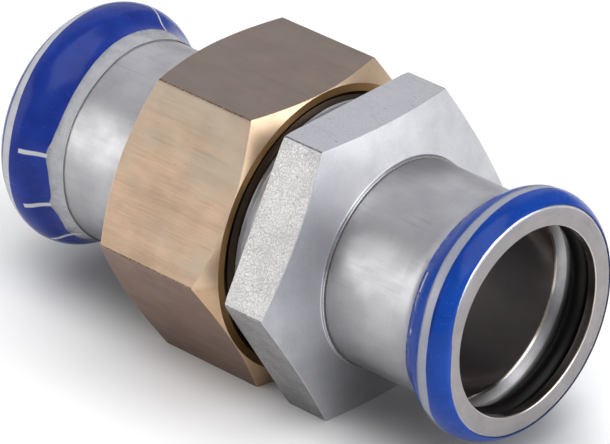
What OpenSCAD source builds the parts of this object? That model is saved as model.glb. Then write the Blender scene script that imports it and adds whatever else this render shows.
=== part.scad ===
// Press union for tube, taken apart by its hexagon union nut.
// The pipe axis is X, the threaded body's mouth opens towards +X, and +Z is normal to the top flats.
// The origin lies on the pipe axis, midway between the two mouths. All lengths are millimetres.

/* [Tube] */
// Outside diameter of the tube that is pressed in
tube_d = 28; // [26:0.1:30]
// Radial play between the tube and the socket
tube_play = 0.15; // [0.1:0.05:0.3]
// Wall of the formed socket
tube_wall = 1.5; // [1.2:0.1:1.7]
// Depth from the mouth to the tube stop
insert_depth = 23; // [19:0.5:28]
// Diameter of the water way between the two stops
way_d = 25.5; // [22:0.5:26]

/* [Press bead] */
// Distance from the mouth to the middle of the bead
bead_setback = 3.35; // [3.2:0.05:3.6]
// Height of the bead's section centre above the socket bore
bead_lift = 0.05; // [0:0.05:0.3]
// Concave radius that carries the bead into the neck
neck_fillet = 4; // [2:0.5:8]
// Wall left in the bead, where forming thins it
bead_wall = 1.3; // [1.1:0.05:1.6]
// Length of the lip between the mouth and the seal ring's groove
lip_len = 1.5; // [1:0.1:1.8]
// Rounding between the lip and the groove's bottom
groove_round = 0.5; // [0.3:0.1:0.8]
// Convex radius that carries the groove into the bore
groove_fillet = 5; // [2:0.5:7]
// Depth by which the bore is sized into that radius, which leaves a clean edge
sizing_depth = 0.45; // [0.2:0.05:0.6]
// Rounding of the mouth's inner edge
mouth_edge = 0.25; // [0.1:0.05:0.5]
// Rounding that carries the bead into the mouth's face
mouth_round = 1; // [0.5:0.1:1.5]

/* [Seal rings] */
// Cord diameter of the seal ring in each bead
cord_d = 3.2; // [2.6:0.1:3.5]
// Radial room between the tube and an unpressed seal ring
ring_room = 0.03; // [0.02:0.01:0.1]
// Distance of the seal ring behind the middle of the bead
ring_shift = 0.3; // [0:0.05:0.4]
// Room between an unpressed seal ring and the bottom of its groove
groove_play = 0.04; // [0.02:0.01:0.2]

/* [Indicator film] */
// Thickness of the shrunk film
film_t = 0.2; // [0.1:0.05:0.3]
// Air gap between the film and the metal
film_gap = 0.05; // [0.02:0.01:0.1]
// Radius with which the film bridges the hollow behind the bead
film_bridge = 8; // [6:0.5:9]
// Distance from the mouth to the film's edge on the neck
film_reach = 11.5; // [10:0.1:14]
// Width of the mouth's face that the film leaves bare
film_bare = 1.8; // [1.5:0.1:2.3]

/* [Hexagons] */
// Wall of the nut between its thread and the middle of a flat
nut_wall = 1.85; // [1.6:0.05:6]
// Length of the union nut
nut_len = 22; // [19:0.5:23]
// Chamfer angle of the nut's corners
nut_chamfer = 29; // [15:1:40]
// Length of the body's hexagon, measured at its corners
hex_len = 7.33; // [5:0.1:20]
// Angle of the cone between the body's corners and its neck
body_cone = 15.4; // [8:0.1:25]
// Deburring bevel behind the body's hexagon
hex_deburr = 0.3; // [0.1:0.1:0.8]

/* [Weld root] */
// Height of the weld rim over the neck
rim_height = 0.32; // [0.1:0.02:0.6]
// Length of the weld rim
rim_len = 0.5; // [0.4:0.01:2]
// Length of the body's spigot, from the weld to the tube stop
front_spigot = 1.07; // [0.6:0.01:10]
// Length of the tail collar's spigot, from the weld to the tube stop
rear_spigot = 5.85; // [1:0.05:12]
// Radial play between each spigot and its seat in the socket
spigot_play = 0.05; // [0.02:0.01:0.15]
// Depth to which the spigot's seat is bored out of the socket's wall
seat_depth = 0.2; // [0.16:0.01:0.4]
// Room between the spigot's end and the end of its seat
seat_room = 0.3; // [0.1:0.05:0.5]

/* [Union thread] */
// Pitch of the union thread
thread_pitch = 1.5; // [1:0.25:2]
// Length of the male thread
thread_len = 12.5; // [8:0.5:20]
// Width of the relief between the thread and the hexagon
relief_w = 3.24; // [2:0.1:8]
// Depth of the relief below the nominal diameter
relief_depth = 1.15; // [1:0.05:2]
// Radial play of the thread at its pitch line
thread_play = 0.3; // [0.2:0.05:0.5]
// Flat land left round the mouth of the nut
mouth_land = 1.25; // [0.6:0.05:1.5]

/* [Union seat] */
// Thickness of the nut's lip behind the collar
lip_t = 4.5; // [3:0.1:6]
// Radial play between the nut's lip and the neck
lip_play = 0.45; // [0.3:0.05:0.6]
// Width of the ring on which the nut's lip pulls the collar
seat_w = 2.54; // [2:0.02:5]
// Length of the thread runout in the nut, in front of its seat
runout_len = 3; // [2:0.5:5]
// Depth of the runout below the nominal diameter
runout_depth = 0.2; // [0.1:0.05:0.4]
// Thickness of the collar
collar_t = 4.2; // [3:0.1:6]
// Radial play between the collar and the nut's thread crests
collar_play = 0.55; // [0.4:0.05:1]
// Thickness of the flat gasket
gasket_t = 2; // [1:0.1:3]
// Radial step from the water way to the gasket's hole
gasket_step = 0.35; // [0.1:0.05:1]
// Length of the neck stub between the collar and the rear weld
stub_len = 2.5; // [1:0.1:4]
// Bevel on the turned edges
edge_bevel = 0.5; // [0.2:0.1:0.8]

/* [Hidden] */
$fn = 160;
// Overshoot of a cut past the face it opens
over = 1;
// Overlap of two arcs that touch, so that they cross at one clean point
kiss = 0.0005;
// Depths of a metric thread's crest and pitch line below its nominal radius, as shares of the pitch
CREST_DEPTH = 0.5413;
PITCH_DEPTH = 0.3248;

// Radii of the tube side
bore_r = tube_d / 2 + tube_play;
neck_r = bore_r + tube_wall;
way_r = way_d / 2;
spigot_seat_r = bore_r + seat_depth;
spigot_r = spigot_seat_r - spigot_play;
rim_r = neck_r + rim_height;
bead_mid_r = bore_r + bead_lift;
ring_mid_r = tube_d / 2 + ring_room + cord_d / 2;
groove_section = norm([ring_mid_r - bead_mid_r, ring_shift]) + cord_d / 2 + groove_play;
bead_section = groove_section + bead_wall;

// Radii of the union, from the neck outwards to the flats: lip, collar, thread and nut wall
lip_r = neck_r + lip_play;
collar_r = lip_r + seat_w;
crest_r = collar_r + collar_play;
thread_r = crest_r + CREST_DEPTH * thread_pitch;
pitch_r = thread_r - PITCH_DEPTH * thread_pitch;
flat_r = thread_r + nut_wall;
corner_r = flat_r / cos(30);
male_r = pitch_r - thread_play / 2;
female_r = pitch_r + thread_play / 2;
relief_r = thread_r - relief_depth;
runout_r = thread_r + runout_depth;
mouth_r = flat_r - mouth_land;
gasket_hole_r = way_r + gasket_step;

// Places along the pipe axis, stacked from the gasket's seat on the body
front_socket_len = insert_depth + front_spigot;
rear_socket_len = insert_depth + rear_spigot;
cone_rise = (corner_r - rim_r) * tan(body_cone);
front_side = thread_len + relief_w + hex_len + cone_rise + rim_len + front_socket_len;
rear_side = gasket_t + collar_t + stub_len + rear_socket_len;
seat_x = (rear_side - front_side) / 2;
thread_end_x = seat_x + thread_len;
hex_x = thread_end_x + relief_w;
hex_corner_x = hex_x + hex_len;
rim_x = hex_corner_x + cone_rise;
front_weld_x = rim_x + rim_len;
front_mouth_x = front_weld_x + front_socket_len;
front_stop_x = front_mouth_x - insert_depth;
collar_front_x = seat_x - gasket_t;
collar_back_x = collar_front_x - collar_t;
rear_weld_x = collar_back_x - stub_len;
rear_mouth_x = rear_weld_x - rear_socket_len;
rear_stop_x = rear_mouth_x + insert_depth;
nut_back_x = collar_back_x - lip_t;
nut_front_x = nut_back_x + nut_len;

// Colours, as the photograph shows them
steel = [0.72, 0.72, 0.73];
satin_steel = [0.78, 0.78, 0.79];
gunmetal = [0.72, 0.58, 0.42];
seal_black = [0.05, 0.05, 0.05];
fibre_green = [0.16, 0.30, 0.24];
film_blue = [0.12, 0.26, 0.65];

// Revolves a section of [radius, x] points round the pipe axis
module turned() {
    rotate([0, 90, 0]) rotate_extrude() children();
}

// Rectangle of a section, from radius r0 to r1 and from x0 to x1
module band(r0, r1, x0, x1) {
    translate([r0, x0]) square([r1 - r0, x1 - x0]);
}

// Hexagon bar along the axis with a flat up, from x0 to x1
module hex_bar(x0, x1) {
    translate([x0, 0, 0]) rotate([0, 90, 0]) rotate([0, 0, 30])
        cylinder(r = corner_r, h = x1 - x0, $fn = 6);
}

// Solid section of a beaded tube end, from its face at the height face over the mouth plane
// down to the depth back. Arcs join the bead, of section radius bead, to the face and the neck.
module bead_form(bead, neck, fillet, rounding, face, back) {
    fillet_gap = bead + fillet - kiss;
    fillet_r = neck + fillet;
    fillet_x = -bead_setback - sqrt(pow(fillet_gap, 2) - pow(fillet_r - bead_mid_r, 2));
    fillet_touch_r = bead_mid_r + bead / fillet_gap * (fillet_r - bead_mid_r);
    round_gap = bead - rounding + kiss;
    round_x = face - rounding;
    round_r = bead_mid_r + sqrt(pow(round_gap, 2) - pow(round_x + bead_setback, 2));
    round_touch_x = -bead_setback + bead / round_gap * (round_x + bead_setback);
    band(0, neck, -back, -bead_setback);
    band(0, round_r, -bead_setback, face);
    translate([round_r, round_x]) circle(r = rounding);
    intersection() {
        band(0, bead_mid_r + bead + over, -back, round_touch_x);
        union() {
            translate([bead_mid_r, -bead_setback]) circle(r = bead);
            difference() {
                band(0, fillet_touch_r, fillet_x, -bead_setback);
                translate([fillet_r, fillet_x]) circle(r = fillet);
            }
        }
    }
}

// Formed press socket with its mouth at the origin, opening towards +X.
// Its weld end is bored out to seat the spigot, whose end is the tube's stop.
module press_socket(len) {
    turned() difference() {
        bead_form(bead_section, neck_r, neck_fillet, mouth_round, 0, len);
        bead_form(groove_section, bore_r - sizing_depth, groove_fillet, groove_round, -lip_len, len + over);
        band(0, bore_r, -len - over, over);
        band(0, spigot_seat_r, -len - over, seat_room - insert_depth);
        difference() {
            band(0, bore_r + mouth_edge, -mouth_edge, over);
            translate([bore_r + mouth_edge - kiss, kiss - mouth_edge]) circle(r = mouth_edge);
        }
    }
}

// Seal ring that lies in the bead's groove
module o_ring() {
    turned() translate([ring_mid_r, -bead_setback - ring_shift]) circle(r = cord_d / 2);
}

// Film's inner or outer form, which stands off the tube end by gap and bridges its hollow
module film_form(gap, fillet, back) {
    bead_form(bead_section + gap, neck_r + gap, fillet, mouth_round + gap, gap, back);
}

// Shrunk film over the bead, from the mouth's face to the neck
module indicator_film() {
    turned() difference() {
        film_form(film_gap + film_t, film_bridge - film_t, film_reach);
        film_form(film_gap, film_bridge, film_reach + over);
        band(0, bore_r + film_bare, -bead_setback, over);
    }
}

// Puts a part of the front tube end in its place
module at_front() {
    translate([front_mouth_x, 0, 0]) children();
}

// Puts a part of the rear tube end in its place, facing -X
module at_rear() {
    translate([rear_mouth_x, 0, 0]) mirror([1, 0, 0]) children();
}

// Section that bevels both ends of the nut's hexagon at the corners
module nut_envelope() {
    big_r = corner_r + over;
    rise = (big_r - flat_r) * tan(nut_chamfer);
    polygon([[0, nut_back_x], [flat_r, nut_back_x], [big_r, nut_back_x + rise],
             [big_r, nut_front_x - rise], [flat_r, nut_front_x], [0, nut_front_x]]);
}

module union_nut() {
    mouth_depth = mouth_r - female_r;
    color(gunmetal) difference() {
        intersection() {
            hex_bar(nut_back_x, nut_front_x);
            turned() nut_envelope();
        }
        turned() union() {
            band(0, lip_r, nut_back_x - over, collar_back_x + over);
            polygon([[0, nut_back_x - over], [lip_r + edge_bevel + over, nut_back_x - over],
                     [lip_r, nut_back_x + edge_bevel], [0, nut_back_x + edge_bevel]]);
            band(0, runout_r, collar_back_x, collar_back_x + runout_len);
            band(0, female_r, collar_back_x, nut_front_x + over);
            polygon([[0, nut_front_x + over], [mouth_r + over, nut_front_x + over],
                     [female_r, nut_front_x - mouth_depth], [0, nut_front_x - mouth_depth]]);
        }
    }
}

// Section of the body's hexagon: a deburred back and one shallow cone up to the weld rim
module body_envelope() {
    big_r = corner_r + over;
    polygon([[0, hex_x], [corner_r - hex_deburr, hex_x], [big_r, hex_x + hex_deburr + over],
             [big_r, hex_corner_x - over * tan(body_cone)], [rim_r, rim_x], [0, rim_x]]);
}

module threaded_body() {
    color(steel) difference() {
        union() {
            intersection() {
                hex_bar(hex_x, rim_x);
                turned() body_envelope();
            }
            turned() union() {
                polygon([[0, seat_x], [male_r - edge_bevel, seat_x], [male_r, seat_x + edge_bevel],
                         [male_r, thread_end_x - edge_bevel], [relief_r, thread_end_x],
                         [relief_r, hex_x + over], [0, hex_x + over]]);
                band(0, rim_r, rim_x - over, front_weld_x - rim_height);
                band(0, neck_r, rim_x - over, front_weld_x);
                translate([neck_r, front_weld_x - rim_height]) circle(r = rim_height);
                band(0, spigot_r, rim_x, front_stop_x);
            }
        }
        turned() band(0, way_r, seat_x - over, front_stop_x + over);
    }
}

module flat_gasket() {
    color(fibre_green) turned() band(gasket_hole_r, collar_r, collar_front_x, seat_x);
}

module tail_collar() {
    color(steel) turned() difference() {
        union() {
            polygon([[0, collar_back_x], [collar_r, collar_back_x],
                     [collar_r, collar_front_x - edge_bevel],
                     [collar_r - edge_bevel, collar_front_x], [0, collar_front_x]]);
            band(0, neck_r, rear_weld_x, collar_front_x - edge_bevel);
            band(0, spigot_r, rear_stop_x, collar_front_x - edge_bevel);
        }
        band(0, way_r, rear_stop_x - over, collar_front_x + over);
    }
}

module front_press_socket() {
    color(satin_steel) at_front() press_socket(front_socket_len);
}

module front_o_ring() {
    color(seal_black) at_front() o_ring();
}

module front_indicator_film() {
    color(film_blue) at_front() indicator_film();
}

module rear_press_socket() {
    color(satin_steel) at_rear() press_socket(rear_socket_len);
}

module rear_o_ring() {
    color(seal_black) at_rear() o_ring();
}

module rear_indicator_film() {
    color(film_blue) at_rear() indicator_film();
}

union_nut();
threaded_body();
front_press_socket();
front_o_ring();
front_indicator_film();
flat_gasket();
tail_collar();
rear_press_socket();
rear_o_ring();
rear_indicator_film();
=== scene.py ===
"""A press union for 28 mm tube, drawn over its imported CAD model.

The pipe axis is X, the threaded body's mouth opens towards +X and a pair of flats of each hexagon
faces up. Sections are written in millimetres and turned into metres when a mesh is made.
"""

from __future__ import annotations

import logging
import math
import random
from dataclasses import dataclass
from enum import Enum, IntEnum
from typing import Callable, Sequence

import bmesh
import bpy
from mathutils import Matrix, Vector

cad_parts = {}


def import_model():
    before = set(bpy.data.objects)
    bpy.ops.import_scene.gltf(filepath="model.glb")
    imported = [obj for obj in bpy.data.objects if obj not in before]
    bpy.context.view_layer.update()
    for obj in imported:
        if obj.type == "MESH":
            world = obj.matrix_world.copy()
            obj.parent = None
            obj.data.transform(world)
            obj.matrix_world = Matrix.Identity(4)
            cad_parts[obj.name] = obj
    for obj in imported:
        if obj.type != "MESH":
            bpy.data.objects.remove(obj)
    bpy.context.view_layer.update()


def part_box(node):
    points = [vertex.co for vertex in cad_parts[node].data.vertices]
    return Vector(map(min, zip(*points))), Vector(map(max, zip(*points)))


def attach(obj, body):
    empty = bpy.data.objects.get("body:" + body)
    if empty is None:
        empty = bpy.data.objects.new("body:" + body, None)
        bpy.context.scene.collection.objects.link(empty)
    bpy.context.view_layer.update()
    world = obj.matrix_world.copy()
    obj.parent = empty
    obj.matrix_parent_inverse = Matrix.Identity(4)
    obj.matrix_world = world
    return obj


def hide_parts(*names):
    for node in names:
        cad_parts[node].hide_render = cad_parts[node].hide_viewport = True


LOG = logging.getLogger("press_union")

Point = tuple[float, float]
Corner = tuple[float, float, float]
Colour = tuple[float, float, float]
Patch = tuple[float, float, float, float]
SectionAt = Callable[[float], Sequence[Point]]
Socket = bpy.types.NodeSocket
Face = bpy.types.MeshPolygon

# Counts of steps, merge distances in metres, reaches and slacks in millimetres, a turn in degrees.
MM = 0.001
STEPS = 192
ARC_STEPS = 4
SECTOR_STEPS = STEPS // 6
SHARP_ANGLE = math.radians(32)
MERGE = 0.0005 * MM
TURN_MERGE = 0.004 * MM
LOOP_REACH = 0.3
FLAT_SLACK = 0.1
CORNER_TURN = 4
RIM_SLACK = 0.32
PATCH_LIMITS = ("From Angle", "To Angle", "From Depth", "To Depth")


class Body(Enum):
    """The bodies of the CAD model that pieces ride on."""

    BODY_SIDE = "body_side"
    TAIL_SIDE = "tail_side"
    NUT = "nut"


class Grain(Enum):
    """The way the tool marks run on a metal face."""

    TURNED = "turned"
    AXIAL = "axial"
    CAST = "cast"


class SocketFace(IntEnum):
    """The material slots of a press socket."""

    FORMED = 0
    DRAWN = 1
    MOUTH = 2
    EDGE = 3
    GROOVE = 4


class FilmFace(IntEnum):
    """The material slots of a film."""

    PRINTED = 0
    CUT = 1


class NutFace(IntEnum):
    """The material slots of the union nut."""

    FLAT = 0
    TURNED = 1
    INSIDE = 2
    CORNER = 3


class BodyFace(IntEnum):
    """The material slots of the threaded body."""

    FLAT = 0
    TURNED = 1
    THREAD = 2
    CORNER = 3
    RIM = 4


@dataclass(frozen=True)
class Fit:
    """The fitting's radii and lengths that several pieces share, in millimetres."""

    bore_r: float = 14.15
    neck_r: float = 15.65
    way_r: float = 12.75
    seat_r: float = 14.35
    spigot_r: float = 14.30
    rim_r: float = 15.97
    insert: float = 23.0
    bead_mid_r: float = 14.2
    bead_setback: float = 3.35
    lip_r: float = 16.1
    collar_r: float = 18.64
    pitch: float = 1.5
    relief_r: float = 18.85
    runout_r: float = 20.2
    mouth_r: float = 20.6
    flat_r: float = 21.852
    seat_x: float = -6.32
    thread_end_x: float = 6.18
    hex_x: float = 9.42
    rim_x: float = 19.30
    front_weld_x: float = 19.80
    front_stop_x: float = 20.87
    collar_front_x: float = -8.32
    collar_back_x: float = -12.52
    rear_weld_x: float = -15.02
    rear_stop_x: float = -20.87
    nut_back_x: float = -17.02
    nut_front_x: float = 4.98

    @property
    def corner_r(self) -> float:
        """Radius to a hexagon's corner."""
        return self.flat_r / math.cos(math.radians(30))


FIT = Fit()


def cone_drop(rise: float, degrees: float) -> float:
    """Axial length of a cone that rises by rise, at degrees from the end face."""
    return rise * math.tan(math.radians(degrees))


def rounded(corners: Sequence[Corner], closed: bool = True, steps: int = ARC_STEPS) -> list[Point]:
    """Rounds the corners of a section.

    Args:
        corners: (x, radius, rounding) of each corner; a rounding of 0 keeps it sharp.
        closed: whether the last corner joins the first.
        steps: edges in each rounding.

    Returns:
        The section's points. Their number doesn't depend on where the corners are.
    """
    points: list[Point] = []
    last = len(corners) - 1
    for i, (x, r, rounding) in enumerate(corners):
        if rounding == 0 or (not closed and i in (0, last)):
            points.append((x, r))
            continue
        here = Vector((x, r))
        back = Vector(corners[i - 1][:2]) - here
        ahead = Vector(corners[(i + 1) % len(corners)][:2]) - here
        if min(back.length, ahead.length) < 1e-6:
            points.extend([(x, r)] * (steps + 1))
            continue
        half = back.angle(ahead) / 2
        reach = min(rounding / max(math.tan(half), 1e-6), 0.45 * min(back.length, ahead.length))
        radius = reach * math.tan(half)
        start = here + back.normalized() * reach
        end = here + ahead.normalized() * reach
        middle = here + (back.normalized() + ahead.normalized()).normalized() * (radius / math.sin(half))
        swing = (start - middle).angle_signed(end - middle)
        for k in range(steps + 1):
            spoke = Matrix.Rotation(-swing * k / steps, 2) @ (start - middle)
            points.append((middle.x + spoke.x, middle.y + spoke.y))
    return points


def arc(centre: Point, radius: float, start: float, end: float, steps: int) -> list[Point]:
    """Points of an arc in the section, from start to end degrees, counted from +X towards outwards."""
    angles = [math.radians(start + (end - start) * k / steps) for k in range(steps + 1)]
    return [(centre[0] + radius * math.cos(a), centre[1] + radius * math.sin(a)) for a in angles]


@dataclass(frozen=True)
class BeadForm:
    """The line of a beaded tube end: its face, rounding, bead and fillet, in the mouth's own frame."""

    bead: float
    neck: float
    fillet: float
    rounding: float
    face: float = 0.0

    def grown(self, by: float) -> BeadForm:
        """The form that stands off this one by a gap."""
        return BeadForm(self.bead + by, self.neck + by, self.fillet - by, self.rounding + by,
                        self.face + by)

    def line(self, steps: int, floor: float | None = None) -> list[Point]:
        """Points from the face over the bead to the neck.

        Args:
            steps: edges along the bead; the rounding and the fillet get a share of them.
            floor: radius at which the fillet ends, or None for the neck.

        Returns:
            The points, with their x measured from the mouth plane.
        """
        middle, setback = FIT.bead_mid_r, FIT.bead_setback
        reach = self.face - self.rounding + setback
        round_r = middle + math.sqrt((self.bead - self.rounding) ** 2 - reach**2)
        lift = math.degrees(math.atan2(round_r - middle, reach))
        rise = self.neck + self.fillet - middle
        run = math.sqrt((self.bead + self.fillet) ** 2 - rise**2)
        lean = math.degrees(math.atan2(rise, run))
        last = math.degrees(math.asin((self.neck + self.fillet - (floor or self.neck)) / self.fillet))
        hollow = (-setback - run, self.neck + self.fillet)
        return (arc((self.face - self.rounding, round_r), self.rounding, 0, lift, steps // 5)
                + arc((-setback, middle), self.bead, lift, 180 - lean, steps)[1:]
                + arc(hollow, self.fillet, -lean, -last, steps // 2)[1:])


TUBE_FORM = BeadForm(4.4, 15.65, 4.0, 1.0)
GROOVE_FORM = BeadForm(3.1, 13.7, 5.0, 0.5, face=-1.5)
FILM_FORM = BeadForm(4.45, 15.7, 8.0, 1.05, face=0.05)


def even_angles() -> list[float]:
    """The angles of a full turn's steps, in degrees from +Z towards -Y."""
    return [360 * k / STEPS for k in range(STEPS)]


@dataclass(frozen=True)
class Hexagon:
    """A hexagon with a flat up and softly broken corners."""

    flat_r: float = FIT.flat_r
    rounding: float = 0.3

    @property
    def arc_angle(self) -> float:
        """Degrees from a corner to where its rounding ends."""
        inner = self.flat_r - self.rounding
        return 30 - math.degrees(math.atan(inner * math.tan(math.radians(30)) / self.flat_r))

    def radius(self, angle: float) -> float:
        """Distance from the axis to the hexagon's side at an angle in degrees."""
        off = abs((angle + 30) % 60 - 30)
        if 30 - off >= self.arc_angle - 1e-6:
            return self.flat_r / math.cos(math.radians(off))
        corner = (self.flat_r - self.rounding) / math.cos(math.radians(30))
        phi = math.radians(30 - off)
        return corner * math.cos(phi) + math.sqrt(self.rounding**2 - (corner * math.sin(phi)) ** 2)

    def angles(self) -> list[float]:
        """The angles of a full turn's steps, with four of them in each corner's rounding."""
        near = self.arc_angle
        inner = SECTOR_STEPS - 4
        sector = [-30.0, -30 + near / 2]
        sector += [-30 + near + (60 - 2 * near) * k / inner for k in range(inner + 1)]
        sector += [30 - near / 2]
        shift = SECTOR_STEPS // 2
        turn = []
        for k in range(STEPS):
            side, place = divmod(k + shift, SECTOR_STEPS)
            turn.append(60 * side + sector[place])
        return turn


HEXAGON = Hexagon()


def spin_section(section_at: SectionAt, angles: Sequence[float],
                 closed: bool = True) -> bmesh.types.BMesh:
    """Spins a section round the pipe axis and sets each ring to its shape at every angle.

    Args:
        section_at: gives the section's points at an angle in degrees.
        angles: the angle of each step, in degrees from +Z towards -Y.
        closed: whether the section is a loop.

    Returns:
        The new mesh, in metres.
    """
    bm = bmesh.new()
    ring = bm.verts.layers.int.new("ring")
    verts = []
    for i, (x, r) in enumerate(section_at(0.0)):
        vert = bm.verts.new((x * MM, 0, r * MM))
        vert[ring] = i
        verts.append(vert)
    pairs = list(zip(verts, verts[1:])) + ([(verts[-1], verts[0])] if closed else [])
    edges = [bm.edges.new(pair) for pair in pairs]
    bmesh.ops.spin(bm, geom=verts + edges, axis=(1, 0, 0), cent=(0, 0, 0), dvec=(0, 0, 0),
                   angle=math.tau, steps=len(angles), use_merge=True, use_duplicate=False)
    sections = [section_at(a) for a in angles]
    for vert in bm.verts:
        turn = math.atan2(-vert.co.y, vert.co.z) / math.tau * len(angles)
        step = round(turn) % len(angles)
        x, r = sections[step][vert[ring]]
        a = math.radians(angles[step])
        vert.co = Vector((x, -r * math.sin(a), r * math.cos(a))) * MM
    return bm


@dataclass(frozen=True)
class Thread:
    """One side of the union thread: ridges of crest_w at crest_r, down or up to root_r."""

    crest_r: float
    root_r: float
    crest_w: float
    from_x: float
    to_x: float
    phase: float = 0.0
    steps: int = 144
    pitch: float = FIT.pitch

    def profile(self) -> list[Point]:
        """One pitch of the thread's section, from root to root, with the crest at x = phase."""
        flank = abs(self.crest_r - self.root_r) * math.tan(math.radians(30))
        crest, half = self.crest_w / 2, self.pitch / 2
        corners = [(-half, self.root_r), (-crest - flank, self.root_r), (-crest, self.crest_r),
                   (crest, self.crest_r), (crest + flank, self.root_r), (half, self.root_r)]
        points = []
        for (x0, r0), (x1, r1) in zip(corners, corners[1:]):
            points += [(x0 + (x1 - x0) * k / 3, r0 + (r1 - r0) * k / 3) for k in range(3)]
        return [(x + self.phase, r) for x, r in points + corners[-1:]]

    def wind(self, limit: Callable[[float, float], float]) -> bmesh.types.BMesh:
        """Winds the helical surface between from_x and to_x.

        Args:
            limit: gives the radius that a point at (x, radius) keeps, for the end chamfers.

        Returns:
            An open tube whose two end loops are flat.
        """
        bm = bmesh.new()
        verts = [bm.verts.new((x * MM, 0, r * MM)) for x, r in self.profile()]
        edges = [bm.edges.new(pair) for pair in zip(verts, verts[1:])]
        bmesh.ops.spin(bm, geom=verts + edges, axis=(1, 0, 0), cent=(0, 0, 0),
                       dvec=(self.pitch * MM / self.steps, 0, 0), angle=math.tau,
                       steps=self.steps, use_merge=False, use_duplicate=False)
        first = math.floor(self.from_x / self.pitch) - 2
        last = math.ceil(self.to_x / self.pitch) + 1
        one_turn = bm.verts[:] + bm.edges[:] + bm.faces[:]
        for k in range(first, last + 1):
            if k != 0:
                copy = bmesh.ops.duplicate(bm, geom=one_turn)["geom"]
                moved = [v for v in copy if isinstance(v, bmesh.types.BMVert)]
                bmesh.ops.translate(bm, verts=moved, vec=(k * self.pitch * MM, 0, 0))
        bmesh.ops.remove_doubles(bm, verts=bm.verts, dist=TURN_MERGE)
        for vert in bm.verts:
            r = math.hypot(vert.co.y, vert.co.z)
            kept = limit(vert.co.x / MM, r / MM) * MM
            vert.co.y *= kept / r
            vert.co.z *= kept / r
        for x, side in ((self.from_x, -1), (self.to_x, 1)):
            bmesh.ops.bisect_plane(bm, geom=bm.verts[:] + bm.edges[:] + bm.faces[:],
                                   plane_co=(x * MM, 0, 0), plane_no=(side, 0, 0), clear_outer=True)
        return bm


def absorb(bm: bmesh.types.BMesh, other: bmesh.types.BMesh) -> None:
    """Moves another mesh into bm."""
    carrier = bpy.data.meshes.new("carrier")
    other.to_mesh(carrier)
    other.free()
    bm.from_mesh(carrier)
    bpy.data.meshes.remove(carrier)


def bridge_open_loops(bm: bmesh.types.BMesh, places: Sequence[float]) -> None:
    """Bridges the pair of open loops that lies near each place along the axis, in millimetres."""
    for x in places:
        near = [e for e in bm.edges
                if e.is_boundary and all(abs(v.co.x / MM - x) < LOOP_REACH for v in e.verts)]
        bmesh.ops.bridge_loops(bm, edges=near)


def finish_mesh(name: str, bm: bmesh.types.BMesh, body: Body,
                nodes: Sequence[str]) -> bpy.types.Object:
    """Turns a bmesh into a smooth-shaded piece that rides on its body.

    Args:
        name: the piece's name.
        bm: its mesh, which is freed.
        body: the CAD body it moves with.
        nodes: the CAD nodes that it stands for.

    Returns:
        The new object, at the origin.
    """
    bmesh.ops.remove_doubles(bm, verts=bm.verts, dist=MERGE)
    bmesh.ops.recalc_face_normals(bm, faces=bm.faces)
    for face in bm.faces:
        face.smooth = True
    for edge in bm.edges:
        edge.smooth = len(edge.link_faces) == 2 and edge.calc_face_angle(0) < SHARP_ANGLE
    mesh = bpy.data.meshes.new(name)
    bm.to_mesh(mesh)
    bm.free()
    piece = bpy.data.objects.new(name, mesh)
    bpy.context.scene.collection.objects.link(piece)
    weighted = piece.modifiers.new("even_shading", "WEIGHTED_NORMAL")
    weighted.keep_sharp = True
    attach(piece, body.value)
    if nodes:
        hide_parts(*nodes)
    return piece


def report(piece: bpy.types.Object) -> None:
    """Logs a piece's number of faces and whether its mesh is closed."""
    bm = bmesh.new()
    bm.from_mesh(piece.data)
    open_edges = sum(1 for edge in bm.edges if not edge.is_manifold)
    LOG.info("%s: %d faces, %d open edges", piece.name, len(bm.faces), open_edges)
    bm.free()


def paint(piece: bpy.types.Object, effects: Effects, finishes: Sequence[Finish],
          rule: Callable[[Face], int] | None = None) -> None:
    """Makes a piece's materials, and gives each face the one that rule names.

    Args:
        piece: the object to dress.
        effects: the shared node groups.
        finishes: the finish of each material slot.
        rule: gives a face's slot; without it every face has the first.
    """
    for finish in finishes:
        piece.data.materials.append(finish.build(effects))
    if rule is not None:
        for face in piece.data.polygons:
            face.material_index = rule(face)


def radius_of(face: Face) -> float:
    """Distance of a face from the pipe axis, in millimetres."""
    return math.hypot(face.center.y, face.center.z) / MM


def is_hexagon_flat(face: Face) -> bool:
    """Whether a face lies on one of the six flats or on the broken edge between two."""
    return abs(face.normal.x) < 0.1 and radius_of(face) > FIT.flat_r - FLAT_SLACK


def is_hexagon_corner(face: Face) -> bool:
    """Whether a face lies on the broken edge between two flats."""
    angle = math.degrees(math.atan2(-face.normal.y, face.normal.z)) % 60
    return is_hexagon_flat(face) and CORNER_TURN < angle < 60 - CORNER_TURN


def is_bore(face: Face) -> bool:
    """Whether a face belongs to the straight bore of a socket."""
    return radius_of(face) < FIT.seat_r + 0.05


def is_male_thread(face: Face) -> bool:
    """Whether a face lies on the thread of the body, short of its grey chamfer."""
    return face.center.x / MM < FIT.thread_end_x - 0.55 and radius_of(face) > 18.7


def is_weld_rim(face: Face) -> bool:
    """Whether a face lies on the low rim round the front weld."""
    return (FIT.rim_x < face.center.x / MM < FIT.front_weld_x + 0.1
            and abs(radius_of(face) - FIT.rim_r) < RIM_SLACK)


def nut_face(face: Face) -> NutFace:
    """The slot of a face of the nut."""
    if is_hexagon_corner(face):
        return NutFace.CORNER
    if is_hexagon_flat(face):
        return NutFace.FLAT
    return NutFace.INSIDE if radius_of(face) < FIT.flat_r - FLAT_SLACK else NutFace.TURNED


def body_face(face: Face) -> BodyFace:
    """The slot of a face of the body. The rim's inner side takes the broken edges' painted shade, and the
    rest of the rim the burnished finish with its painted highlight.
    """
    if is_hexagon_corner(face) or (is_weld_rim(face) and face.normal.x > 0.75):
        return BodyFace.CORNER
    if is_hexagon_flat(face):
        return BodyFace.FLAT
    if is_male_thread(face):
        return BodyFace.THREAD
    return BodyFace.RIM if is_weld_rim(face) else BodyFace.TURNED


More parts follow.
